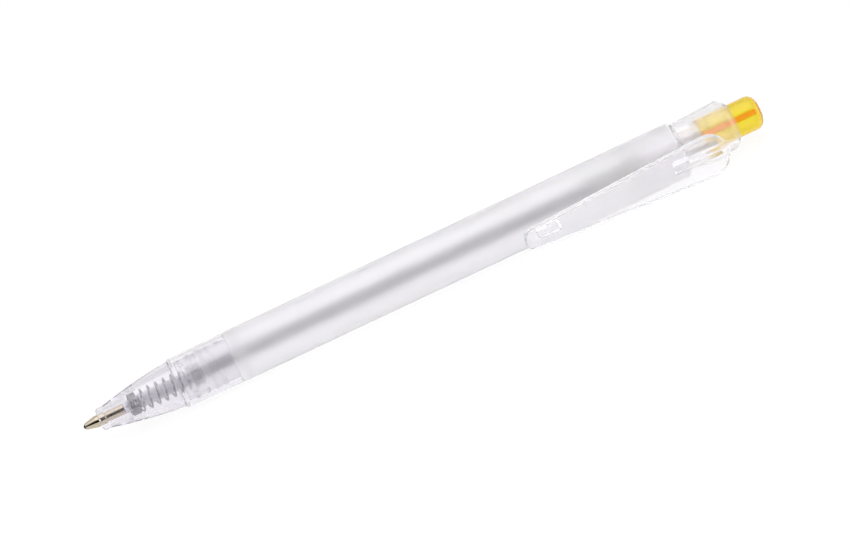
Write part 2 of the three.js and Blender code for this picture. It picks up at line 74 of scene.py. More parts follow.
# %% The pen's axis and the clip's lean
axis_y, axis_z = joint["rotor_turn"]["pos_m"][1:]
point_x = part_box("writing_ball")[0][0]
clip_normal = Vector(mount["clip_face"]["axis"])
clip_lean = math.atan2(-clip_normal.z, -clip_normal.y)
print(f"point at x {1000 * point_x:.2f} mm, axis {1000 * axis_z:.2f} mm up,"
      f" clip leans {math.degrees(clip_lean):.2f} degrees")

# %% [markdown]
# ## Working by hand, in code
#
# A round piece starts as one vertex. It is extruded from corner to corner of the outline and then
# spun about the axis, as a lathe turns a bar. The two ends of the spin meet, so the doubles are
# merged, and the normals are made to point outwards afterwards. The merging distance is two
# thousandths of a millimetre: more than the spin's rounding errors, and far less than the finest
# edge. A Screw modifier could turn the outline too, but a spin leaves no modifier to apply.

# %% Helpers for the outline
MERGE = 0.002


def only(piece):
    """Leaves edit mode, selects this piece alone and makes it active."""
    if bpy.context.object and bpy.context.object.mode != "OBJECT":
        bpy.ops.object.mode_set(mode="OBJECT")
    bpy.ops.object.select_all(action="DESELECT")
    piece.select_set(True)
    bpy.context.view_layer.objects.active = piece


def draw(name, outline, closed):
    """Extrudes one vertex along the outline's corners."""
    bpy.ops.object.select_all(action="DESELECT")
    bpy.ops.mesh.primitive_plane_add(size=1, location=(0, 0, 0))
    piece = bpy.context.object
    piece.name = name
    piece.data.name = name
    bpy.ops.object.mode_set(mode="EDIT")
    bpy.ops.mesh.merge(type="CENTER")
    bpy.ops.transform.translate(value=outline[0])
    steps = outline[1:] + outline[:1] if closed else outline[1:]
    here = Vector(outline[0])
    for corner in steps:
        step = Vector(corner) - here
        bpy.ops.mesh.extrude_region_move(TRANSFORM_OT_translate={"value": step})
        here = Vector(corner)
    bpy.ops.mesh.select_all(action="SELECT")
    bpy.ops.mesh.remove_doubles(threshold=MERGE)
    return piece


def tidy_faces():
    """Merges doubles, turns all faces outwards and leaves edit mode."""
    bpy.ops.mesh.select_all(action="SELECT")
    bpy.ops.mesh.remove_doubles(threshold=MERGE)
    bpy.ops.mesh.dissolve_degenerate(threshold=MERGE)
    bpy.ops.mesh.select_all(action="SELECT")
    bpy.ops.mesh.normals_make_consistent(inside=False)
    bpy.ops.object.mode_set(mode="OBJECT")


def guarded(outline, near=0.15, long=1.0):
    """Corners added near both ends of each long straight, so that its smooth shading stays even."""
    corners = [outline[0]]
    for (x0, r0), (x1, r1) in zip(outline, outline[1:]):
        length = math.hypot(x1 - x0, r1 - r0)
        if length > long:
            for t in (near / length, 1 - near / length):
                corners.append((x0 + (x1 - x0) * t, r0 + (r1 - r0) * t))
        corners.append((x1, r1))
    return corners


def turn(name, outline, steps=96):
    """A turned piece from [x, radius] corners, closed on itself or ending on the axis."""
    on_axis = outline[0][1] == 0 and outline[-1][1] == 0
    piece = draw(name, [(x, 0, radius) for x, radius in guarded(outline)], closed=not on_axis)
    bpy.ops.mesh.spin(steps=steps, angle=2 * math.pi, center=(0, 0, 0), axis=(1, 0, 0))
    tidy_faces()
    print(f"{name}: {len(piece.data.polygons)} faces round the axis")
    return piece


# %% [markdown]
# ## Moulded edges
#
# No moulding has sharp edges. A Bevel modifier rounds the edges that are sharper than an angle. A
# Boolean modifier joins a rib to its body or cuts a slot, so each shape stays simple until they
# meet. What repeats is modelled once and copied round the axis.

# %% Helpers for edges, joints and cuts
def round_edges(piece, width, segments, angle):
    """Rounds the edges where the surface turns by more than the angle."""
    only(piece)
    bevel = piece.modifiers.new("Rounded edges", "BEVEL")
    bevel.width = width
    bevel.segments = segments
    bevel.limit_method = "ANGLE"
    bevel.angle_limit = math.radians(angle)
    bpy.ops.object.modifier_apply(modifier=bevel.name)


def combine(piece, tool, how):
    """Adds the tool's volume to the piece or cuts it away. The tool is gone afterwards."""
    only(piece)
    cutter = piece.modifiers.new(how.title(), "BOOLEAN")
    cutter.object = tool
    cutter.operation = how
    cutter.solver = "EXACT"
    bpy.ops.object.modifier_apply(modifier=cutter.name)
    bpy.data.objects.remove(tool)


def around(piece, count, start):
    """Copies of a piece at equal angles round the axis, each with its own mesh."""
    copies = []
    for i in range(count):
        only(piece)
        bpy.ops.object.duplicate(linked=False)
        copy = bpy.context.object
        angle = start + 2 * math.pi * i / count
        copy.data.transform(Matrix.Rotation(angle, 4, "X"))
        copies.append(copy)
    bpy.data.objects.remove(piece)
    return copies


def plate(name, outline, y, thickness):
    """A flat outline of [x, z] corners at this y, made thick towards +Y."""
    piece = draw(name, [(x, y, z) for x, z in outline], closed=True)
    bpy.ops.mesh.edge_face_add()
    bpy.ops.mesh.extrude_region_move(TRANSFORM_OT_translate={"value": (0, thickness, 0)})
    tidy_faces()
    return piece


def bar(name, x, y, z):
    """A straight bar between two limits on each axis."""
    return plate(name, [(x[0], z[0]), (x[1], z[0]), (x[1], z[1]), (x[0], z[1])], y[0], y[1] - y[0])


def curve(start, pull, end, steps):
    """Points on a curve that leaves start and reaches end, drawn towards the pull."""
    points = []
    for i in range(steps + 1):
        t = i / steps
        points.append(tuple((1 - t) ** 2 * a + 2 * t * (1 - t) * b + t ** 2 * c
                            for a, b, c in zip(start, pull, end)))
    return points


def arc(x, radius, size, start, end, steps):
    """Points on a round edge, angles in degrees from +X towards larger radius."""
    angles = [math.radians(start + (end - start) * i / steps) for i in range(steps + 1)]
    return [(x + size * math.cos(a), radius + size * math.sin(a)) for a in angles]


# %% [markdown]
# ## Handing a piece to the frame
#
# A finished piece goes to metres, leans with the clip if it is one of the rear pieces, and moves to
# the axis. Its place is then applied to its mesh. It rides on a body of the mechanism, and it
# stands for the plain solid that the CAD model has there.

# %% Place, ride and replace
def place(piece, node, body, leaning=False):
    """Puts a finished piece where the CAD node is, and on its body if it is given one."""
    only(piece)
    lean = clip_lean if leaning else 0.0
    scale = Matrix.Scale(0.001, 4)
    turned = Matrix.Rotation(lean, 4, "X")
    moved = Matrix.Translation((point_x, axis_y, axis_z))
    piece.matrix_world = moved @ turned @ scale
    bpy.ops.object.transform_apply(location=True, rotation=True, scale=True)
    bpy.ops.object.shade_smooth_by_angle(angle=math.radians(32))
    if body:
        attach(piece, body)
    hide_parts(node)
    low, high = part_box(node)
    corners = [Vector(v.co) for v in piece.data.vertices]
    over = [max(low[i] - min(c[i] for c in corners), max(c[i] for c in corners) - high[i])
            for i in range(3)]
    print(f"{piece.name}: {len(piece.data.polygons)} faces,"
          f" past the CAD solid by {1000 * max(over):.2f} mm")


# %% [markdown]
# ## The ballpoint tip and its ball
#
# The tip is turned from nickel silver bar and then has its rim rolled over the ball. It has a long
# cone, a collar, a fine groove and a shank that plugs into the refill. The ball is ground and
# lapped carbide. Both are round all about the axis, so each is one spun outline. A cone and a
# sphere would be quicker, but the socket, the groove and the steps would then have to be cut.

# %% Tip and ball
TIP_CONE = 2.56
COLLAR_END = 4.64
SHANK_X = 4.84
SHANK_END = 8.44
COLLAR_RADIUS = 1.15
GROOVE_RADIUS = 0.88
SHANK_RADIUS = 1.0
PLUG_LENGTH = 2.0
PLUG_RADIUS = 0.66
DUCT_RADIUS = 0.28
BALL_RADIUS = 0.5
SOCKET_RADIUS = 0.55

socket = [(2 * BALL_RADIUS - x, r)
          for x, r in arc(BALL_RADIUS, 0, SOCKET_RADIUS, 149.4, 73.1, 8)]
tip = turn("nickel_silver_tip", [
    *socket,
    (0.34, 0.6),
    (0.42, 0.63),
    (1.2, 0.82),
    (TIP_CONE - 0.08, COLLAR_RADIUS - 0.02),
    (TIP_CONE + 0.04, COLLAR_RADIUS),
    (COLLAR_END - 0.14, COLLAR_RADIUS),
    (COLLAR_END - 0.04, COLLAR_RADIUS - 0.06),
    (COLLAR_END, GROOVE_RADIUS),
    (SHANK_X, GROOVE_RADIUS),
    (SHANK_X + 0.04, SHANK_RADIUS - 0.01),
    (SHANK_X + 0.12, SHANK_RADIUS),
    (SHANK_END, SHANK_RADIUS),
    (SHANK_END, PLUG_RADIUS),
    (SHANK_END + PLUG_LENGTH, PLUG_RADIUS),
    (SHANK_END + PLUG_LENGTH, DUCT_RADIUS),
])

ball = turn("carbide_ball", [
    (0.0, 0.0),
    *arc(BALL_RADIUS, 0, BALL_RADIUS, 176, 4, 28),
    (2 * BALL_RADIUS, 0.0),
], steps=48)

# %% [markdown]
# ## The refill
#
# The refill is an extruded polypropylene tube, milky and a little springy. Its front is drawn down
# to hold the tip, and a moulded shoulder carries the spring. The ink is a dark paste that fills the
# tube nearly to its end, and in front it narrows to a channel. Both are spun, the tube with its
# bore in the same outline. The ink could be a dark material inside the tube's wall, but as a piece
# of its own, a hair smaller than the bore, it is bent by the wall as real ink is.

# %% Refill tube
NOZZLE_X = SHANK_END + 0.1
NOZZLE_RADIUS = 1.1
NOZZLE_BORE = 0.76
FRONT_X = 11.82
FRONT_RADIUS = 1.35
FRONT_BORE = 0.95
FRONT_BORE_X = 10.74
SHOULDER_X = 24.85
SHOULDER_END = 25.75
SHOULDER_RADIUS = 2.05
TUBE_RADIUS = 1.55
TUBE_BORE = 1.2
REFILL_END = 106.8

refill = turn("refill_tube_milky", [
    (NOZZLE_X, NOZZLE_BORE),
    (NOZZLE_X, NOZZLE_RADIUS - 0.08),
    (NOZZLE_X + 0.1, NOZZLE_RADIUS),
    (FRONT_X - 0.25, NOZZLE_RADIUS),
    (FRONT_X, FRONT_RADIUS),
    (SHOULDER_X, FRONT_RADIUS),
    (SHOULDER_X, SHOULDER_RADIUS - 0.08),
    (SHOULDER_X + 0.08, SHOULDER_RADIUS),
    (SHOULDER_END - 0.08, SHOULDER_RADIUS),
    (SHOULDER_END, SHOULDER_RADIUS - 0.08),
    (SHOULDER_END + 0.5, TUBE_RADIUS),
    (REFILL_END - 0.06, TUBE_RADIUS),
    (REFILL_END, TUBE_RADIUS - 0.06),
    (REFILL_END, TUBE_BORE),
    (SHOULDER_END, TUBE_BORE),
    (SHOULDER_END, FRONT_BORE),
    (FRONT_BORE_X, FRONT_BORE),
    (FRONT_BORE_X, NOZZLE_BORE),
], steps=64)

# %% Ink
INK_X = 11.04
INK_END = 106.24
INK_RADIUS = 1.1
CHANNEL_RADIUS = 0.5

ink = turn("ink_paste", [
    (INK_X, 0.0),
    (INK_X, CHANNEL_RADIUS),
    (SHOULDER_END + 0.1, CHANNEL_RADIUS),
    (SHOULDER_END + 0.1, INK_RADIUS),
    (INK_END - 0.5, INK_RADIUS),
    (INK_END - 0.12, INK_RADIUS - 0.2),
    (INK_END, 0.5),
    (INK_END, 0.0),
], steps=48)

# %% [markdown]
# ## The spring
#
# The spring is drawn steel wire, wound to the left on a mandrel: four closed turns in front, seven
# open turns, and five and a quarter closed turns at the refill's shoulder. A Screw modifier could
# wind a small circle, but only at one pitch, and this spring has two. So a chain of edges follows
# the wire's middle. As a curve it gets the wire's thickness, and then it becomes a mesh with closed
# ends.

# %% Spring
SPRING_X = 9.6
SPRING_END = 24.55
SPRING_RADIUS = 2.05
WIRE = 0.36
DEAD = (4.0, 5.25)
OPEN_TURNS = 7.0
DEAD_PITCH = 0.385


def wire_middle(steps_per_turn=32):
    """Points along the middle of the wire, closed turns tight, open turns even between them."""
    turns = DEAD[0] + OPEN_TURNS + DEAD[1]
    length = SPRING_END - SPRING_X - WIRE - (DEAD[0] + DEAD[1]) * DEAD_PITCH
    points = []
    for i in range(int(turns * steps_per_turn) + 1):
        t = i / steps_per_turn
        dead = min(t, DEAD[0]) + max(t - DEAD[0] - OPEN_TURNS, 0)
        opened = min(max(t - DEAD[0], 0), OPEN_TURNS)
        x = SPRING_X + WIRE / 2 + dead * DEAD_PITCH + opened * length / OPEN_TURNS
        angle = -2 * math.pi * t
        points.append((x, SPRING_RADIUS * math.cos(angle), SPRING_RADIUS * math.sin(angle)))
    return points


def wire(name, points, diameter):
    """Sweeps a round wire along a chain of points."""
    mesh = bpy.data.meshes.new(name)
    mesh.from_pydata(points, [(i, i + 1) for i in range(len(points) - 1)], [])
    piece = bpy.data.objects.new(name, mesh)
    bpy.context.scene.collection.objects.link(piece)
    only(piece)
    bpy.ops.object.convert(target="CURVE")
    piece = bpy.context.object
    piece.data.bevel_depth = diameter / 2
    piece.data.bevel_resolution = 3
    piece.data.use_fill_caps = True
    bpy.ops.object.convert(target="MESH")
    piece = bpy.context.object
    piece.name = name
    bpy.ops.object.mode_set(mode="EDIT")
    tidy_faces()
    return piece


spring = wire("spring_steel_wire", wire_middle(), WIRE)

# %% [markdown]
# ## The clear nose
#
# The nose is injected polystyrene: as clear as glass, from a polished mould. A rounded lip guards
# the mouth, an ogive swells to a fine step, and the grip behind it is bored out for the barrel's
# thread. The inside counts as much as the outside, because the walls bend what is seen through
# them. A Solidify modifier would make an even wall, and this one is thick in front and thin behind.
# The outline therefore runs along both sides, and the whole wall is spun in one go.

# %% Nose
MOUTH_X = 3.17
MOUTH_BORE = 1.3
LIP_RADIUS = 2.2
LIP_ROUND = 0.6
STEP_X = 19.15
SEAM_X = 30.77
NOSE_END = SEAM_X - 0.12
THREAD_ROOM_X = 19.87
THREAD_ROOM_BORE = 4.5
SEAT_X = 9.27
POCKET_BORE = 2.48
POCKET_END = 11.77
OGIVE_PULL = (MOUTH_X + 8.7, 3.965)
OGIVE_END_RADIUS = 4.62

ogive = curve((MOUTH_X + 1.5, LIP_RADIUS), OGIVE_PULL, (STEP_X, OGIVE_END_RADIUS), 28)
nose = turn("clear_nose", [
    (MOUTH_X, MOUTH_BORE),
    (MOUTH_X, MOUTH_BORE + 0.2),
    *arc(MOUTH_X + LIP_ROUND, LIP_RADIUS - LIP_ROUND, LIP_ROUND, 175, 92, 6),
    (MOUTH_X + 1.4, LIP_RADIUS),
    *ogive,
    (STEP_X + 0.03, 4.66),
    (STEP_X + 0.14, 4.92),
    (STEP_X + 0.24, 4.94),
    (NOSE_END - 0.14, 5.04),
    (NOSE_END, 4.96),
    (NOSE_END, THREAD_ROOM_BORE),
    (THREAD_ROOM_X, THREAD_ROOM_BORE),
    (THREAD_ROOM_X, 3.3),
    (POCKET_END, POCKET_BORE + 0.3),
    (POCKET_END, POCKET_BORE),
    (SEAT_X, POCKET_BORE),
    (SEAT_X, MOUTH_BORE),
], steps=128)

# %% [markdown]
# ## The frosted barrel
#
# The barrel is a moulded tube with a spark-eroded, matt outside. Its front steps down to a spigot
# with a screw thread, which shows through the clear grip. Plain rings would be simpler, but a
# thread climbs as it goes round. So it is one ridge: a small section that a Screw modifier winds
# along the axis, and that is then joined to the spigot.

# %% Helper for the thread
THREAD_PITCH = 1.97
THREAD_ROOT = 3.9
THREAD_CREST = 4.2
THREAD_TURNS = 4
RIDGE_WIDTH = 1.2
RIDGE_SUNK = 0.15


def thread_ridge(name, x, turns, root, crest, width):
    """A ridge wound to the right round the axis, with its two ends closed."""
    section = [(x - width / 2, 0, root - RIDGE_SUNK), (x - width / 6, 0, crest),
               (x + width / 6, 0, crest), (x + width / 2, 0, root - RIDGE_SUNK)]
    ridge = draw(name, section, closed=True)
    bpy.ops.object.mode_set(mode="OBJECT")
    only(ridge)
    winding = ridge.modifiers.new("Winding", "SCREW")
    winding.axis = "X"
    winding.angle = 2 * math.pi
    winding.screw_offset = THREAD_PITCH
    winding.iterations = turns
    winding.steps = 64
    winding.render_steps = 64
    bpy.ops.object.modifier_apply(modifier=winding.name)
    bpy.ops.object.mode_set(mode="EDIT")
    bpy.ops.mesh.select_all(action="DESELECT")
    bpy.ops.mesh.select_mode(type="EDGE")
    bpy.ops.mesh.select_non_manifold()
    bpy.ops.mesh.fill()
    bpy.ops.mesh.select_mode(type="VERT")
    tidy_faces()
    return ridge


# %% Barrel with its thread
SPIGOT_X = 20.17
SPIGOT_BORE = 3.0
SPIGOT_BORE_END = 31.63
BARREL_END = 123.98
BARREL_RADIUS = 5.15
BARREL_BORE = 4.29
BARREL_BORE_X = 32.92
REAR_ROUND = 0.55

barrel = turn("frosted_barrel", [
    (SPIGOT_X, SPIGOT_BORE),
    (SPIGOT_X, THREAD_ROOT - 0.15),
    (SPIGOT_X + 0.15, THREAD_ROOT),
    (SEAM_X, THREAD_ROOT),
    (SEAM_X, BARREL_RADIUS - 0.2),
    (SEAM_X + 0.1, BARREL_RADIUS - 0.1),
    (BARREL_END - REAR_ROUND, BARREL_RADIUS),
    *arc(BARREL_END - REAR_ROUND, BARREL_RADIUS - REAR_ROUND, REAR_ROUND, 80, 0, 5),
    (BARREL_END, BARREL_BORE),
    (BARREL_BORE_X, BARREL_BORE),
    (SPIGOT_BORE_END, SPIGOT_BORE),
], steps=128)
ridge = thread_ridge("thread", SPIGOT_X + 1.0, THREAD_TURNS, THREAD_ROOT, THREAD_CREST,
                     RIDGE_WIDTH)
combine(barrel, ridge, "UNION")
print("thread joined:", len(barrel.data.polygons), "faces")

# %% [markdown]
# ## The cap and its clip
#
# One clear moulding does four jobs: the flared cap closes the pen, the long clip holds it in a
# pocket, the sleeve plugs into the barrel, and the ribs inside the sleeve are the fixed cams of the
# latch. The turned body comes first. Clip, web, nub and ribs are joined to it, and two grooves
# between each pair of ribs are cut from the sleeve. The clip could be pulled out of the body's
# faces, but its outline is what the eye follows. So it is drawn flat, as it is seen from outside,
# and then made thick.

# %% Turned body of the cap
CAP_X = 124.1
LIP_X = 135.7
RING_X = 123.86
SLEEVE_X = 113.08
SLEEVE_RADIUS = 4.19
SLEEVE_BORE = 3.41
CAM_INNER = 2.81
CAP_BORE = 3.55

cap = turn("clear_cap", [
    (SLEEVE_X, SLEEVE_RADIUS - 0.3),
    (SLEEVE_X + 0.3, SLEEVE_RADIUS),
    (CAP_X, SLEEVE_RADIUS),
    (CAP_X, 4.5),
    (CAP_X + 0.08, 4.58),
    (LIP_X - 1.66, 5.09),
    (LIP_X - 1.56, 5.07),
    (LIP_X - 1.1, 4.85),
    (LIP_X - 0.69, 4.53),
    (LIP_X - 0.61, 4.46),
    (LIP_X - 0.3, 4.14),
    (LIP_X, 3.68),
    (LIP_X - 0.02, CAP_BORE + 0.03),
    (LIP_X - 0.06, CAP_BORE),
    (RING_X + 0.8, CAP_BORE),
    (RING_X + 0.8, CAM_INNER),
    (RING_X, CAM_INNER),
    (RING_X, SLEEVE_BORE),
    (SLEEVE_X, SLEEVE_BORE),
], steps=128)

# %% Outline of the clip
CLIP_TIP = 89.49
CLIP_ROOT = 127.7
TIP_LENGTH = 1.8
TIP_FLAT_HALF = 0.35
TIP_HALF_WIDTH = 2.15
PULL_SHARE = 0.62
PULL_HALF_WIDTH = 3.75
ROOT_HALF_WIDTH = 4.42
ROOT_ROUND = 4.25


def clip_outline():
    """The clip as seen from outside: round tip, flaring sides, round root."""
    side_start = (CLIP_TIP + TIP_LENGTH, TIP_HALF_WIDTH)
    side_pull = (CLIP_TIP + PULL_SHARE * (CLIP_ROOT - CLIP_TIP), PULL_HALF_WIDTH)
    corner = curve((CLIP_TIP, TIP_FLAT_HALF), (CLIP_TIP, TIP_HALF_WIDTH), side_start, 10)
    side = curve(side_start, side_pull, (CLIP_ROOT, ROOT_HALF_WIDTH), 28)
    root = [(CLIP_ROOT + ROOT_ROUND * math.sin(math.radians(a)),
             ROOT_HALF_WIDTH * math.cos(math.radians(a))) for a in range(6, 90, 6)]
    half = corner + side[1:] + root
    return half + [(CLIP_ROOT + ROOT_ROUND, 0.0)] + [(x, -z) for x, z in reversed(half)]


# %% Clip, nub and web joined to the cap
CLIP_INNER = 6.75
CLIP_OUTER = 8.15
IN_CLIP = -CLIP_INNER - 0.4
OFF_BARREL = -BARREL_RADIUS - 0.3
NUB = (92.29, 96.84)
NUB_HALF = 0.85
WEB_HALF = 0.925
WEB_X = 120.9
WEB_END = 130.4
WEB_ROOT = 3.95

clip = plate("clip", clip_outline(), -CLIP_OUTER, CLIP_OUTER - CLIP_INNER)
round_edges(clip, 0.28, segments=3, angle=50)
nub = bar("nub", NUB, (IN_CLIP, OFF_BARREL), (-NUB_HALF, NUB_HALF))
round_edges(nub, 0.25, segments=3, angle=50)
web_front = bar("web_front", (WEB_X, WEB_END), (IN_CLIP, OFF_BARREL), (-WEB_HALF, WEB_HALF))
web_rear = bar("web_rear", (CAP_X, WEB_END), (-CLIP_INNER - 0.1, -WEB_ROOT),
               (-WEB_HALF, WEB_HALF))
for part in (clip, nub, web_front, web_rear):
    combine(cap, part, "UNION")
print("cap with clip:", len(cap.data.polygons), "faces")

# %% [markdown]
# ## The fixed cams
#
# The rotor turns by an eighth while the button travels by one click, so the slope of the cams is
# that travel over the length of an eighth of a turn at their inner radius. The rotor's ribs slant
# alike. Each rib is modelled once and copied round the axis.

# %% Slope of the cams, and a rib with a slanted end
CLICK_TRAVEL = 5.0
CAM_SLOPE = CLICK_TRAVEL / (math.pi / 4 * CAM_INNER)
ROTOR_END = 116.06
BLADE_WIDTH = 0.6
CAM_GAP = 0.5
CAM_MIDDLE = ROTOR_END + CAM_GAP - CAM_SLOPE * BLADE_WIDTH / 2
print(f"cams slope by {CAM_SLOPE:.2f} mm along the axis for each mm round it")


def slanted_rib(name, x, middle, width, inner, outer):
    """A bar along the axis whose front end slants along the path that the rotor takes."""
    half = width / 2
    outline = [(x, -half), (x, half), (middle - CAM_SLOPE * half, half),
               (middle + CAM_SLOPE * half, -half)]
    return plate(name, outline, inner, outer - inner)


# %% Fixed cam ribs and the sleeve's grooves
RIB_COUNT = 4
RIB_START = math.radians(23)
CAM_WIDTH = 0.8
CAM_HEIGHT = 1.0
GROOVES = ((BARREL_END - 9.6, 3.4), (BARREL_END - 4.7, 4.7))
GROOVE_DEPTH = 0.3
GROOVE_HALF = 0.25

cam = slanted_rib("cam", RING_X + 0.4, CAM_MIDDLE, CAM_WIDTH, CAM_INNER, CAM_INNER + CAM_HEIGHT)
for rib in around(cam, RIB_COUNT, RIB_START):
    combine(cap, rib, "UNION")
for start, length in GROOVES:
    groove = bar("groove", (start, start + length),
                 (SLEEVE_RADIUS - GROOVE_DEPTH, SLEEVE_RADIUS + GROOVE_DEPTH),
                 (-GROOVE_HALF, GROOVE_HALF))
    for tool in around(groove, RIB_COUNT, RIB_START + math.pi / RIB_COUNT):
        combine(cap, tool, "DIFFERENCE")
print("cap with cams and grooves:", len(cap.data.polygons), "faces")

# %% [markdown]
# ## The push button
#
# The button is a thin cup in translucent yellow plastic. Its end is rounded over to a small flat. A
# flat wall crosses its middle and keeps the cup from being squeezed, and it shows as an orange
# band, because light has more plastic to cross there. The cup is spun with its bore. The wall is a
# plate that follows the cup's inside, is turned about the axis and is then joined to the cup.

# %% Button
BUTTON_END = 141.25
SKIRT_X = 128.96
BUTTON_RADIUS = 3.4
BUTTON_BORE = 2.75
BUTTON_WALL = 0.65
FLAT_RADIUS = 1.6
END_ROUND = 1.8

button = turn("yellow_button", [
    (BUTTON_END, 0.0),
    *arc(BUTTON_END - END_ROUND, FLAT_RADIUS, END_ROUND, 4, 90, 14),
    (SKIRT_X + 0.06, BUTTON_RADIUS),
    (SKIRT_X, BUTTON_RADIUS - 0.06),
    (SKIRT_X, BUTTON_BORE + 0.04),
    (SKIRT_X + 0.04, BUTTON_BORE),
    *arc(BUTTON_END - END_ROUND, FLAT_RADIUS, END_ROUND - BUTTON_WALL, 90, 4, 10),
    (BUTTON_END - BUTTON_WALL, 0.0),
], steps=96)

# %% Wall across the button
WALL_TURN = math.radians(32)
WALL_REACH = BUTTON_BORE + 0.3
WALL_THICKNESS = 1.0
WALL_CLEARANCE = 0.1

wall_half = [(SKIRT_X + 0.5, WALL_REACH), (BUTTON_END - END_ROUND, WALL_REACH),
             (BUTTON_END - 1.15, BUTTON_BORE)]
wall = plate("button_wall", wall_half + [(x, -z) for x, z in reversed(wall_half)],
             -WALL_THICKNESS / 2, WALL_THICKNESS)
wall.data.transform(Matrix.Rotation(math.pi / 2 - WALL_TURN, 4, "X"))
combine(button, wall, "UNION")
print("button:", len(button.data.polygons), "faces")

# %% [markdown]
# ## The latch: plunger and rotor
#
# The plunger is plugged into the button. Its crown of eight teeth pushes the rotor, and its four
# ribs run between the fixed cams. The rotor sits on the refill's end and turns by an eighth at each
# click, until its slanted ribs find the cams or the gaps between them. The plunger is an uncoloured
# moulding and the rotor is smoke grey, because the dark band in the barrel goes on under the cap,
# behind the end of the refill. Both are spun and then get their ribs. The teeth of the crown are
# what is left between eight wedge-shaped cuts, which is easier than to build each tooth.

# %% Plunger
PLUNGER_X = ROTOR_END + 0.3
PLUNGER_END = SKIRT_X + 2.2
PLUNGER_RADIUS = 2.56
PLUNGER_BORE = 1.35
FLANGE_RADIUS = 3.25
FOOT_RADIUS = 2.65

plunger = turn("uncoloured_plunger", [
    (PLUNGER_X, PLUNGER_BORE),
    (PLUNGER_X, PLUNGER_RADIUS),
    (SKIRT_X - 0.8, PLUNGER_RADIUS),
    (SKIRT_X - 0.8, FLANGE_RADIUS),
    (SKIRT_X - 0.3, FLANGE_RADIUS),
    (SKIRT_X - 0.3, FOOT_RADIUS),
    (PLUNGER_END, FOOT_RADIUS),
    (PLUNGER_END, PLUNGER_BORE),
], steps=96)

# %% Ribs, slot and crown of the plunger
RIB_RADIUS = 3.26
RIB_SUNK = 0.4
GUIDE_LENGTH = 2.2
GUIDE_HALF = 0.3
SLOT_HALF = WALL_THICKNESS / 2 + WALL_CLEARANCE
TEETH = 8
TOOTH_DEPTH = 0.7

guide = bar("guide_rib", (PLUNGER_X, PLUNGER_X + GUIDE_LENGTH),
            (PLUNGER_RADIUS - RIB_SUNK, RIB_RADIUS), (-GUIDE_HALF, GUIDE_HALF))
for rib in around(guide, RIB_COUNT, RIB_START + math.pi / RIB_COUNT):
    combine(plunger, rib, "UNION")
slot = bar("wall_slot", (SKIRT_X + 0.2, PLUNGER_END + 0.3), (-BUTTON_RADIUS, BUTTON_RADIUS),
           (-SLOT_HALF, SLOT_HALF))
slot.data.transform(Matrix.Rotation(-WALL_TURN, 4, "X"))
combine(plunger, slot, "DIFFERENCE")
tooth_width = 2 * math.pi * PLUNGER_RADIUS / TEETH
notch = plate("notch", [(PLUNGER_X - TOOTH_DEPTH, -tooth_width / 2),
                        (PLUNGER_X - TOOTH_DEPTH, tooth_width / 2),
                        (PLUNGER_X + TOOTH_DEPTH, 0.0)], 0.0, PLUNGER_RADIUS + 1.0)
for tool in around(notch, TEETH, RIB_START):
    combine(plunger, tool, "DIFFERENCE")
print("plunger:", len(plunger.data.polygons), "faces")

# %% Rotor
ROTOR_X = 107.1
CUP_X = 104.9
CUP_BORE = 1.65
CUP_RADIUS = 2.25
CUP_END = 107.7
BODY_RADIUS = 2.0
STEM_RADIUS = 1.2
STEM_END = ROTOR_END + 13.0
BLADE_LENGTH = 2.3

rotor = turn("grey_rotor", [
    (ROTOR_X, 0.0),
    (ROTOR_X, CUP_BORE),
    (CUP_X, CUP_BORE),
    (CUP_X, CUP_RADIUS - 0.06),
    (CUP_X + 0.06, CUP_RADIUS),
    (CUP_END, CUP_RADIUS),
    (CUP_END + 0.25, BODY_RADIUS),
    (ROTOR_END, BODY_RADIUS),
    (ROTOR_END, STEM_RADIUS),
    (STEM_END - 0.1, STEM_RADIUS),
    (STEM_END, STEM_RADIUS - 0.1),
    (STEM_END, 0.0),
], steps=64)
blade = slanted_rib("blade", ROTOR_END - BLADE_LENGTH, CAM_MIDDLE - CAM_GAP, BLADE_WIDTH,
                    BODY_RADIUS - RIB_SUNK, RIB_RADIUS)
for rib in around(blade, RIB_COUNT, RIB_START):
    combine(rotor, rib, "UNION")
print("rotor:", len(rotor.data.polygons), "faces")

# %% [markdown]
# ## Everything to its place
#
# The casing holds still. The button and its plunger slide, and the refill slides with them and
# carries the ball. The spring crosses a joint, so it rides on no body, and its place is applied
# to its mesh.

# %% Place all pieces
place(nose, "nose_cone", "casing")
place(barrel, "barrel", "casing")
place(cap, "clip_cap", "casing", leaning=True)
place(button, "push_button", "button", leaning=True)
place(plunger, "plunger", "button", leaning=True)
place(rotor, "rotor", "rotor", leaning=True)
place(refill, "refill_tube", "refill")
place(ink, "ink_column", "refill")
place(tip, "ballpoint_tip", "refill")
place(ball, "writing_ball", "ball")
place(spring, "spring", None)


def station(x):
    """A place on the axis, in metres, from its distance to the writing point in millimetres."""
    return (point_x + x / 1000, axis_y, axis_z)


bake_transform(spring)

# %% [markdown]
# ## Materials
#
# Colours are written as they look on screen, so one function turns them to the linear values that
# the shaders use. One more function adds a node with its settings and links.

# %% Helpers for materials
def linear(code):
    """An sRGB hex colour as linear red, green, blue and alpha."""
    parts = [int(code[i:i + 2], 16) / 255 for i in (0, 2, 4)]
    return [p / 12.92 if p <= 0.04045 else ((p + 0.055) / 1.055) ** 2.4 for p in parts] + [1.0]


def add(tree, kind, settings=None, links=None, **values):
    """Adds a node: its settings, the values of its sockets, and links into its sockets."""
    node = tree.nodes.new(kind)
    for name, value in (settings or {}).items():
        setattr(node, name, value)
    for name, value in values.items():
        node.inputs[name.replace("_", " ")].default_value = value
    for name, source in (links or {}).items():
        tree.links.new(source, node.inputs[name])
    return node


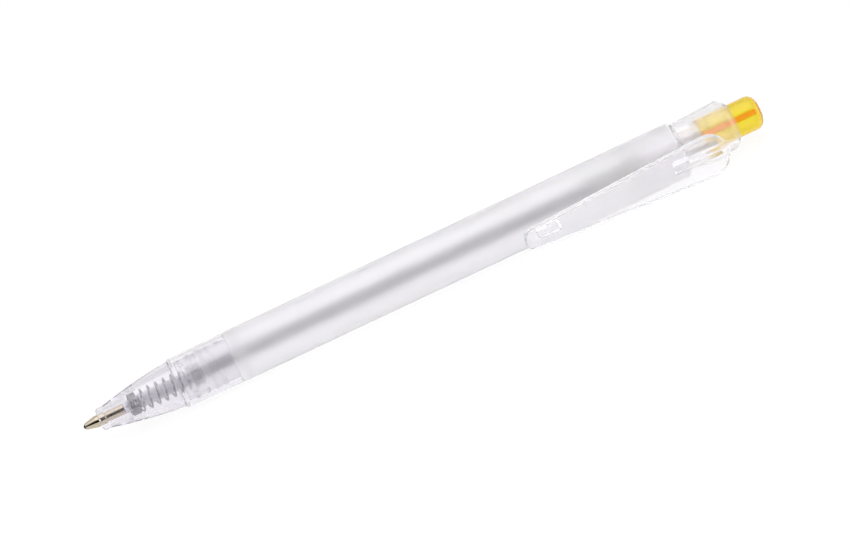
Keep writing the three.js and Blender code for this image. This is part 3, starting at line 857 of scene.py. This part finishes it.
def material(name):
    """A new material with only its output node."""
    made = bpy.data.materials.new(name)
    made.use_nodes = True
    made.node_tree.nodes.clear()
    output = made.node_tree.nodes.new("ShaderNodeOutputMaterial")
    return made, made.node_tree, output


def finish_with(piece, made):
    """Gives the piece this one material."""
    piece.data.materials.clear()
    piece.data.materials.append(made)


# %% [markdown]
# ## Moulded plastics
#
# Every plastic piece here lets light through, and none is quite as clear as glass. Some of the
# light goes straight on and is bent by the walls, and the rest is scattered white inside the
# plastic. The shader's transmission stands for the first share and its diffuse part for the second.
# The pieces differ only in this share, in the tint, and in how smooth the mould was, so one
# function makes them all. The relief is given in millimetres and reads Object coordinates, so it
# stays on the piece when the piece moves.
#
# Two more helpers serve single pieces. One lets a value change along the pen, where a piece is
# thicker or smoother at one end. The other dyes the plastic through and through.

# %% Helper for a moulded plastic
def moulded(name, tint, clear_share, roughness, index, grain_mm, relief_mm, stretch=1.0):
    """A plastic that lets light through, with the mould's fine relief, drawn out along the axis."""
    made, tree, output = material(name)
    coordinates = add(tree, "ShaderNodeTexCoord")
    mapping = add(tree, "ShaderNodeMapping", links={"Vector": coordinates.outputs["Object"]},
                  Scale=(1000 / grain_mm / stretch, 1000 / grain_mm, 1000 / grain_mm))
    relief = add(tree, "ShaderNodeTexNoise", links={"Vector": mapping.outputs["Vector"]},
                 Scale=1.0, Detail=3.0)
    bump = add(tree, "ShaderNodeBump", links={"Height": relief.outputs["Fac"]},
               Strength=1.0, Distance=relief_mm / 1000)
    shader = add(tree, "ShaderNodeBsdfPrincipled", links={"Normal": bump.outputs["Normal"]},
                 Base_Color=linear(tint), Roughness=roughness, IOR=index,
                 Transmission_Weight=clear_share)
    tree.links.new(shader.outputs["BSDF"], output.inputs["Surface"])
    print(f"{name}: {clear_share:.0%} straight through, roughness {roughness}")
    return made, tree, output


# %% Helpers for a change along the pen and for a dye
def change_along(tree, output, socket, start_x, start, end_x, end):
    """Lets one value of the plastic change along the pen, from start to end."""
    coordinates = add(tree, "ShaderNodeTexCoord")
    split = add(tree, "ShaderNodeSeparateXYZ", links={"Vector": coordinates.outputs["Object"]})
    value = add(tree, "ShaderNodeMapRange", links={"Value": split.outputs["X"]},
                From_Min=station(start_x)[0], From_Max=station(end_x)[0], To_Min=start, To_Max=end)
    shader = output.inputs["Surface"].links[0].from_node
    tree.links.new(value.outputs["Result"], shader.inputs[socket])


def dye(tree, output, colour, per_metre):
    """Colour that deepens with the distance light travels in the plastic."""
    absorption = add(tree, "ShaderNodeVolumeAbsorption", Color=colour, Density=per_metre)
    tree.links.new(absorption.outputs["Volume"], output.inputs["Volume"])


# %% [markdown]
# ## Polished clear polystyrene: the nose
#
# Crystal polystyrene from a polished mould. Its high index, 1.59, gives bright rims and dark lines
# like glass. The plastic has a faint lavender cast. Volume absorption gives it, because the cast
# deepens with the thickness: the thick ogive is greyer than the thin grip. The melt's flow leaves
# shallow waves along it.

# %% Nose material
LAVENDER = (0.94, 0.935, 0.95, 1.0)

clear_polystyrene, tree, output = moulded("clear_polystyrene_polished", "FDFCFE", 0.97, 0.03, 1.59,
                                          5.0, 0.001, 3.0)
dye(tree, output, LAVENDER, 780.0)
finish_with(nose, clear_polystyrene)

# %% [markdown]
# ## Frosted polypropylene: the barrel
#
# The mould was spark-eroded, so the outside has a fine matt grain, and polypropylene is a little
# milky. Some of the light is scattered white, and the rest goes through blurred. This makes the
# refill show as a soft dark band. The grain is drawn at 0.25 mm, coarser than the real 0.05 mm, so
# that it shows. The spigot was moulded in a smooth sleeve, so the roughness falls off towards its
# front, where the spring shows.

# %% Barrel material
SMOOTH, MATT = 0.15, 0.45
SMOOTH_TO, MATT_FROM = 23.2, 26.5

frosted, tree, output = moulded("frosted_polypropylene", "FAF9FB", 0.87, MATT, 1.49, 0.25, 0.004)
change_along(tree, output, "Roughness", SMOOTH_TO, SMOOTH, MATT_FROM, MATT)
finish_with(barrel, frosted)

# %% [markdown]
# ## Smooth clear plastic: the cap and the clip
#
# The cap comes from a smooth mould, a little less bright than the nose's, so what lies behind it is
# soft. The yellow button shows through it, paler than it is outside.

# %% Cap material
cap_plastic = moulded("clear_cap_plastic_smooth", "FDFCFE", 0.93, 0.16, 1.49, 4.0, 0.002, 2.0)[0]
finish_with(cap, cap_plastic)

# %% [markdown]
# ## Translucent yellow: the button
#
# A transparent dye takes out blue at once and green slowly. Thin walls are therefore lemon yellow,
# and the wall across the cup, seen edge on, is orange. Volume absorption gives exactly that,
# because it works on the distance that light travels in the plastic.

# %% Button material
YELLOW_DYE = (1.0, 0.932, 0.0, 1.0)

yellow, tree, output = moulded("transparent_yellow_polystyrene", "F6F5AC", 0.97, 0.12, 1.49,
                               3.0, 0.002)
dye(tree, output, YELLOW_DYE, 2200.0)
finish_with(button, yellow)

# %% [markdown]
# ## Uncoloured parts and the refill
#
# The plunger is acetal without colour, which is waxy. The rotor is acetal too, with a smoke grey
# dye. The refill's tube is extruded polypropylene, so its faint marks run along it. Its front is
# thick and milky and hides the ink, and the drawn tube behind the shoulder is thin and lets the ink
# show, so the clear share changes there. The ink is a nearly black paste.

# %% Latch materials
SMOKE_DYE = (0.5, 0.51, 0.49, 1.0)

uncoloured = moulded("uncoloured_acetal", "FAF9FA", 0.8, 0.25, 1.48, 0.8, 0.003)[0]
finish_with(plunger, uncoloured)

grey, tree, output = moulded("smoke_grey_acetal", "F0F0EE", 0.9, 0.25, 1.48, 0.8, 0.003)
dye(tree, output, SMOKE_DYE, 400.0)
finish_with(rotor, grey)

# %% Refill and ink materials
MILKY, CLEARER = 0.35, 0.9

tube_plastic, tree, output = moulded("extruded_polypropylene_milky", "EFEDF2", CLEARER, 0.25, 1.49,
                                     0.6, 0.003, 8.0)
change_along(tree, output, "Transmission Weight", SHOULDER_X - 0.6, MILKY, SHOULDER_END, CLEARER)
finish_with(refill, tube_plastic)

paste = moulded("black_ink_paste", "1D1B20", 0.0, 0.3, 1.5, 1.5, 0.01)[0]
finish_with(ink, paste)

# %% [markdown]
# ## Turned and drawn metal
#
# Nickel silver is a pale, slightly yellow metal, and the tool leaves rings round the tip. The rings
# are 0.08 mm apart, finer than a pixel, and only soften the reflections across the axis. The
# spring's wire was drawn through a die and is bright and dark by turns. The ball is lapped, so it
# is the smoothest. It is wet with ink, and that makes it nearly black. The marks on the wire and on
# the ball are too fine to show, so the same shallow rings stand in for them.

# %% Metals
def turned_metal(name, tint, roughness, ring_mm, depth_mm):
    """Bright metal with fine rings round the axis."""
    made, tree, output = material(name)
    coordinates = add(tree, "ShaderNodeTexCoord")
    rings = add(tree, "ShaderNodeTexWave", settings={"bands_direction": "X"},
                links={"Vector": coordinates.outputs["Object"]}, Scale=100 * math.pi / ring_mm,
                Distortion=0.4)
    bump = add(tree, "ShaderNodeBump", links={"Height": rings.outputs["Fac"]},
               Strength=1.0, Distance=depth_mm / 1000)
    shader = add(tree, "ShaderNodeBsdfPrincipled", links={"Normal": bump.outputs["Normal"]},
                 Base_Color=linear(tint), Metallic=1.0, Roughness=roughness)
    tree.links.new(shader.outputs["BSDF"], output.inputs["Surface"])
    print(f"{name}: rings {ring_mm} mm apart, roughness {roughness}")
    return made


finish_with(tip, turned_metal("turned_nickel_silver", "C4B8A4", 0.12, 0.08, 0.0006))
finish_with(spring, turned_metal("drawn_spring_steel", "9A9A9E", 0.16, 0.3, 0.0006))
finish_with(ball, turned_metal("lapped_carbide_wet_with_ink", "1E1D20", 0.1, 0.05, 0.0001))

# %% [markdown]
# ## Table and light
#
# The pen lies on white card in a white tent. The card takes the pen's shadow. Where the camera sees
# the card directly, in a reflection or through clear plastic, most of it is a plain white glow, so
# that the background stays white, as in the photograph. The rest is the lit card with its shadow.

# %% White card
CARD_GLOW = 0.88

bpy.ops.object.select_all(action="DESELECT")
bpy.ops.mesh.primitive_plane_add(size=4.0, location=(0, 0, 0))
card = bpy.context.object
card.name = "white_card"
card_material, tree, output = material("white_card")
paper = add(tree, "ShaderNodeBsdfDiffuse", Color=linear("F9F9F9"))
glow = add(tree, "ShaderNodeEmission", Strength=1.0)
rays = add(tree, "ShaderNodeLightPath")
mirrored = add(tree, "ShaderNodeMath", settings={"operation": "MAXIMUM"},
               links={0: rays.outputs["Is Glossy Ray"], 1: rays.outputs["Is Transmission Ray"]})
seen = add(tree, "ShaderNodeMath", settings={"operation": "MAXIMUM"},
           links={0: rays.outputs["Is Camera Ray"], 1: mirrored.outputs[0]})
share = add(tree, "ShaderNodeMath", settings={"operation": "MULTIPLY"}, links={0: seen.outputs[0]})
share.inputs[1].default_value = CARD_GLOW
surface = add(tree, "ShaderNodeMixShader", links={0: share.outputs[0], 1: paper.outputs[0],
                                                  2: glow.outputs[0]})
tree.links.new(surface.outputs[0], output.inputs["Surface"])
finish_with(card, card_material)
print(f"card: {CARD_GLOW:.0%} plain white where it is seen")

# %% [markdown]
# The tent is white in front and a little greyer at the back. The picture is taken through an
# opening, a wide dark slot that runs along the pen. Polished metal and the walls of the plastic
# mirror it as a dark streak along their middle. The tones are given by the angle from the slot's
# middle. The slot is fixed in the room, so it doesn't follow the camera.

# %% Tent with its opening
OPENING_ELEVATION = math.radians(21)
OPENING = Vector((0, -math.cos(OPENING_ELEVATION), math.sin(OPENING_ELEVATION)))
SLOT_STRETCH = 2.0
TENT = ((20, 0.01), (44, 1.0), (75, 1.0), (100, 0.88), (130, 0.8))
TENT_STRENGTH = 1.05

world = bpy.data.worlds.new("white_tent")
bpy.context.scene.world = world
world.use_nodes = True
tree = world.node_tree
tree.nodes.clear()
direction = add(tree, "ShaderNodeTexCoord")
squeezed = add(tree, "ShaderNodeMapping", settings={"vector_type": "POINT"},
               links={"Vector": direction.outputs["Generated"]}, Scale=(1 / SLOT_STRETCH, 1.0, 1.0))
along = add(tree, "ShaderNodeVectorMath", settings={"operation": "NORMALIZE"},
            links={0: squeezed.outputs["Vector"]})
facing = add(tree, "ShaderNodeVectorMath", settings={"operation": "DOT_PRODUCT"},
             links={0: along.outputs["Vector"]})
facing.inputs[1].default_value = OPENING
zero_to_one = add(tree, "ShaderNodeMapRange", links={"Value": facing.outputs["Value"]},
                  From_Min=-1.0, From_Max=1.0)
shade = add(tree, "ShaderNodeValToRGB", links={"Fac": zero_to_one.outputs["Result"]})
shade.color_ramp.interpolation = "EASE"
while len(shade.color_ramp.elements) < len(TENT):
    shade.color_ramp.elements.new(0.5)
for stop, (angle, bright) in zip(shade.color_ramp.elements, reversed(TENT)):
    stop.position = (1 + math.cos(math.radians(angle))) / 2
    stop.color = (bright, bright, bright, 1.0)
background = add(tree, "ShaderNodeBackground", links={"Color": shade.outputs["Color"]},
                 Strength=TENT_STRENGTH)
add(tree, "ShaderNodeOutputWorld", links={"Surface": background.outputs["Background"]})
print(f"tent: {len(TENT)} tones from the slot to the back")

# %% [markdown]
# Three soft boxes add a little to the tent's light. A wide one hangs over the pen. Two low ones
# stand in front, on the left and on the right, because a pen that lies on a table shades its own
# underside. They are wide and weak, so that a colour still looks as it is written. They give light
# but are left out of reflections, because the polished pieces would mirror them as white lines.

# %% Soft boxes
def soft_box(name, spot, width, height, watts, mirrored):
    """A rectangular lamp that looks at the pen."""
    bpy.ops.object.light_add(type="AREA", location=spot)
    lamp = bpy.context.object
    lamp.name = name
    lamp.data.shape = "RECTANGLE"
    lamp.data.size = width
    lamp.data.size_y = height
    lamp.data.energy = watts
    lamp.rotation_euler = (-lamp.location).to_track_quat("-Z", "Y").to_euler()
    lamp.visible_glossy = mirrored
    print(f"{name}: {width} x {height} m, {watts} W")


soft_box("soft_box_above", (0.05, -0.08, 0.6), 0.8, 0.6, 1.0, mirrored=True)
soft_box("soft_box_left", (-0.34, -0.3, 0.17), 0.5, 0.3, 1.3, mirrored=False)
soft_box("soft_box_right", (0.36, -0.3, 0.17), 0.5, 0.3, 1.3, mirrored=False)

# %% [markdown]
# The camera's place comes from the photograph: the rings of the cap bulge towards the button while
# the nose's step is nearly straight, so the camera stood about 0.73 m away, opposite the nose, and
# looked a little towards the clip. The pen rises to the right by 25 degrees, which is the camera's
# roll.

# %% Camera
ELEVATION = math.radians(26.74)
DISTANCE = 0.730
OPPOSITE = 12.0
ROLL = math.radians(25.246)
FOCAL_PX = 3880.0
CENTRE_X = 70.21
BELOW_AXIS_PX = 7.45
PHOTO_WIDTH_PX = 850
SENSOR_MM = 36.0

straight_out = Vector((0, -math.cos(ELEVATION), math.sin(ELEVATION)))
foot = Vector(station(OPPOSITE))
position = foot + DISTANCE * straight_out
yaw = math.atan((CENTRE_X - OPPOSITE) / 1000 / DISTANCE)
ahead = -straight_out * math.cos(yaw) + Vector((1, 0, 0)) * math.sin(yaw)
across = Vector((1, 0, 0)) * math.cos(yaw) + straight_out * math.sin(yaw)
upward = across.cross(ahead)
ahead = (ahead - upward * BELOW_AXIS_PX / FOCAL_PX).normalized()
upward = across.cross(ahead)
right = across * math.cos(ROLL) - upward * math.sin(ROLL)
top = across * math.sin(ROLL) + upward * math.cos(ROLL)

camera_data = bpy.data.cameras.new("camera")
camera = bpy.data.objects.new("camera", camera_data)
bpy.context.scene.collection.objects.link(camera)
camera_data.sensor_width = SENSOR_MM
camera_data.lens = FOCAL_PX / PHOTO_WIDTH_PX * SENSOR_MM
camera_data.clip_start = 0.01
turned = Matrix((right, top, -ahead)).transposed().to_4x4()
camera.matrix_world = Matrix.Translation(position) @ turned
bpy.context.scene.camera = camera
print(f"camera at {[round(v, 3) for v in position]}, lens {camera_data.lens:.1f} mm")

# %% [markdown]
# ## Light paths and the last lines
#
# Light crosses many walls here: nose, spring chamber, refill and back. The number of bounces is
# raised so that none of these paths ends in black. The filter that blurs mirrored light is off,
# because it swallows light behind clear walls. The view transform is set to Standard.

# %% Bounces and finish
cycles = bpy.context.scene.cycles
cycles.max_bounces = 32
cycles.transmission_bounces = 32
cycles.transparent_max_bounces = 32
cycles.glossy_bounces = 12
cycles.diffuse_bounces = 8
cycles.blur_glossy = 0.0
bpy.context.scene.view_settings.view_transform = "Standard"
